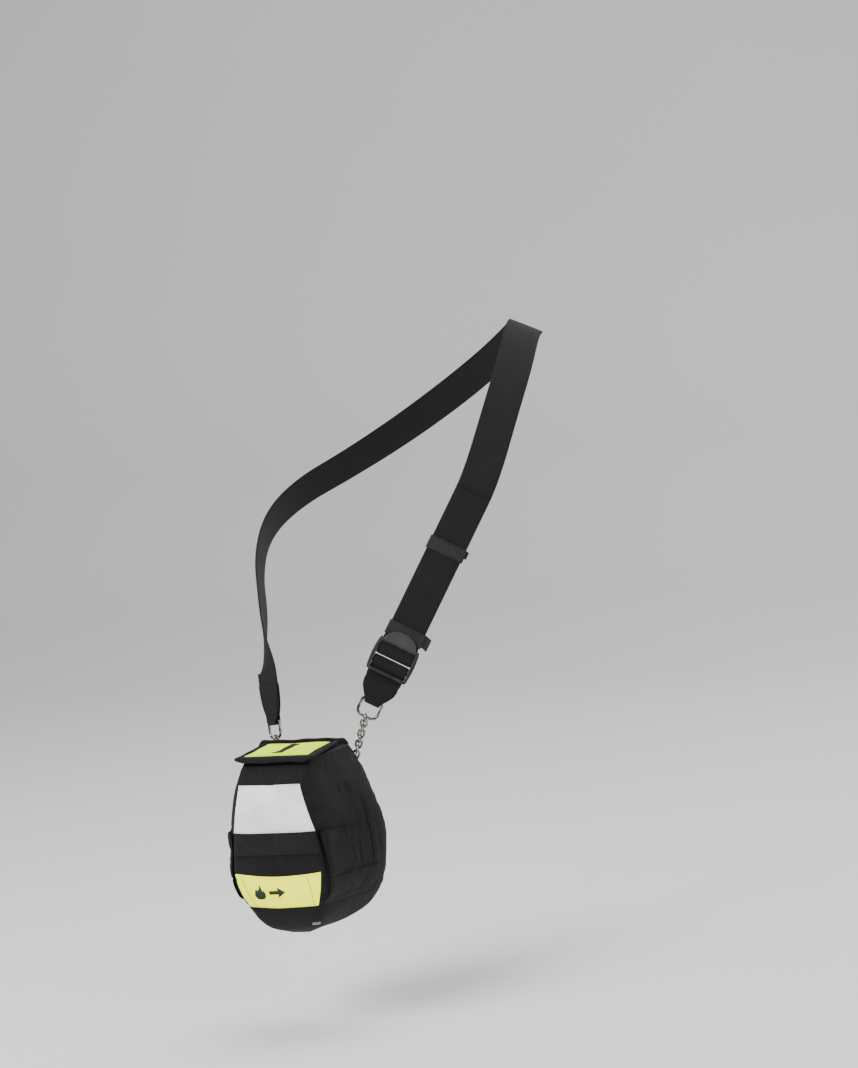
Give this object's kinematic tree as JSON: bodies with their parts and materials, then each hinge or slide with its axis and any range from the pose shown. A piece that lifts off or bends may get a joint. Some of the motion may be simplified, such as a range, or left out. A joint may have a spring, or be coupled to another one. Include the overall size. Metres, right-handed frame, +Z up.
{
  "type": "smoke hood in belt pouch",
  "caption": "Packed smoke hood in a soft padded hip pouch with a flap lid, hung by short chains from a wide shoulder strap with a ladder-lock adjuster.",
  "frame": {"origin": "top of the shoulder strap, at the middle of the webbing where it lies over the wearer's shoulder", "axes": "+Z up as worn, -Y is the side the pouch's front faces, +X towards the shoulder side; the pouch stays square to the axes"},
  "size_m": [0.3337, 0.4435, 0.622],
  "materials": {
    "fabric_black": "woven nylon, matt, slightly faded",
    "webbing_black": "ribbed polyester webbing",
    "hook_loop_black": "hook and loop tape",
    "patch_yellow": "fluorescent coated fabric",
    "band_yellow": "pale luminous coated fabric",
    "label_silver": "reflective glass-bead fabric",
    "symbol_dark": "printed",
    "tag_grey": "woven tape",
    "steel": "bright zinc plated",
    "plastic_black": "moulded acetal, satin",
    "foil": "laminated foil, crinkled",
    "tear_red": "film",
    "hood_fabric": "heat-resistant coated fabric",
    "visor_clear": "clear film",
    "rubber_black": "soft moulded rubber",
    "valve_silicone": "silicone",
    "filter_plastic": "moulded",
    "carbon": "granular activated carbon",
    "catalyst": "granular catalyst",
    "paper_white": "pleated filter paper",
    "elastic_black": "knitted elastic"
  },
  "bodies": {
    "strap": {"strap_webbing": "webbing_black", "strap_tail": "webbing_black", "right_end_tab": "webbing_black", "left_end_tab": "webbing_black", "right_strap_ring": "steel", "left_strap_ring": "steel"},
    "pouch": {"back_panel": "fabric_black", "band_symbols": "symbol_dark", "belt_loop": "webbing_black", "bottom_panel": "fabric_black", "carbon_bed": "carbon", "catalyst_bed": "catalyst", "exhale_cover": "filter_plastic", "exhale_valve_seat": "filter_plastic", "filter_cover": "filter_plastic", "filter_housing": "filter_plastic", "filter_plug": "rubber_black", "filter_screens": "steel", "foil_bag": "foil", "folded_hood": "hood_fabric", "front_band": "fabric_black", "front_loop_strip": "hook_loop_black", "front_panel": "fabric_black", "front_pocket": "fabric_black", "half_mask": "rubber_black", "head_harness": "elastic_black", "inhale_valve_seat": "filter_plastic", "left_chain": "steel", "left_gusset": "fabric_black", "left_pouch_ring": "steel", "left_ring_loop": "webbing_black", "left_side_pocket": "fabric_black", "mouth_frame": "fabric_black", "neck_seal": "rubber_black", "particle_pleat": "paper_white", "reflective_label": "label_silver", "right_chain": "steel", "right_gusset": "fabric_black", "right_pouch_ring": "steel", "right_ring_loop": "webbing_black", "right_side_pocket": "fabric_black", "seam_tag": "tag_grey", "tear_strip": "tear_red", "visor": "visor_clear", "yellow_band": "band_yellow"},
    "lid": {"lid_panel": "fabric_black", "lid_patch": "patch_yellow", "lid_binding": "fabric_black", "lid_hook_strip": "hook_loop_black"},
    "opening_tab": {"pull_tab": "webbing_black"},
    "adjuster_body": {"adjuster": "plastic_black", "adjuster_wrap": "webbing_black"},
    "keeper_low": {"lower_keeper": "webbing_black"},
    "keeper_high": {"upper_keeper": "webbing_black"},
    "inhale_disc": {"inhale_valve_disc": "valve_silicone"},
    "exhale_disc": {"exhale_valve_disc": "valve_silicone"}
  },
  "joints": [
    {"name": "pouch_swing", "type": "hinge", "parent": "strap", "child": "pouch", "pos_m": [-0.1472, -0.2347, -0.3927], "axis": [-0.9813, 0.0558, -0.1844], "range_deg": [0, 8]},
    {"name": "lid_hinge", "type": "hinge", "parent": "pouch", "child": "lid", "pos_m": [-0.22, -0.248, -0.4185], "axis": [-1, 0, 0], "range_deg": [0, 90]},
    {"name": "pull_tab_lift", "type": "hinge", "parent": "lid", "child": "opening_tab", "pos_m": [-0.22, -0.262, -0.4146], "axis": [-1, 0, 0], "range_deg": [0, 70]},
    {"name": "adjuster_tilt", "type": "hinge", "parent": "strap", "child": "adjuster_body", "pos_m": [-0.11835, -0.2222, -0.3415], "axis": [0.82, 0.237, -0.521], "range_deg": [0, 18], "stiffness_Nm_per_rad": 0.1},
    {"name": "lower_keeper_slide", "type": "slide", "parent": "strap", "child": "keeper_low", "axis": [0.461, 0.265, 0.8469], "range_m": [-0.002, 0.03]},
    {"name": "upper_keeper_slide", "type": "slide", "parent": "strap", "child": "keeper_high", "axis": [0.461, 0.265, 0.8469], "range_m": [-0.03, 0.03]},
    {"name": "inhale_valve_lift", "type": "slide", "parent": "pouch", "child": "inhale_disc", "axis": [0, 1, 0], "range_m": [0, 0.0015], "stiffness_N_per_m": 20},
    {"name": "exhale_valve_lift", "type": "slide", "parent": "pouch", "child": "exhale_disc", "axis": [0, -1, 0], "range_m": [0, 0.0012], "stiffness_N_per_m": 20}
  ]
}
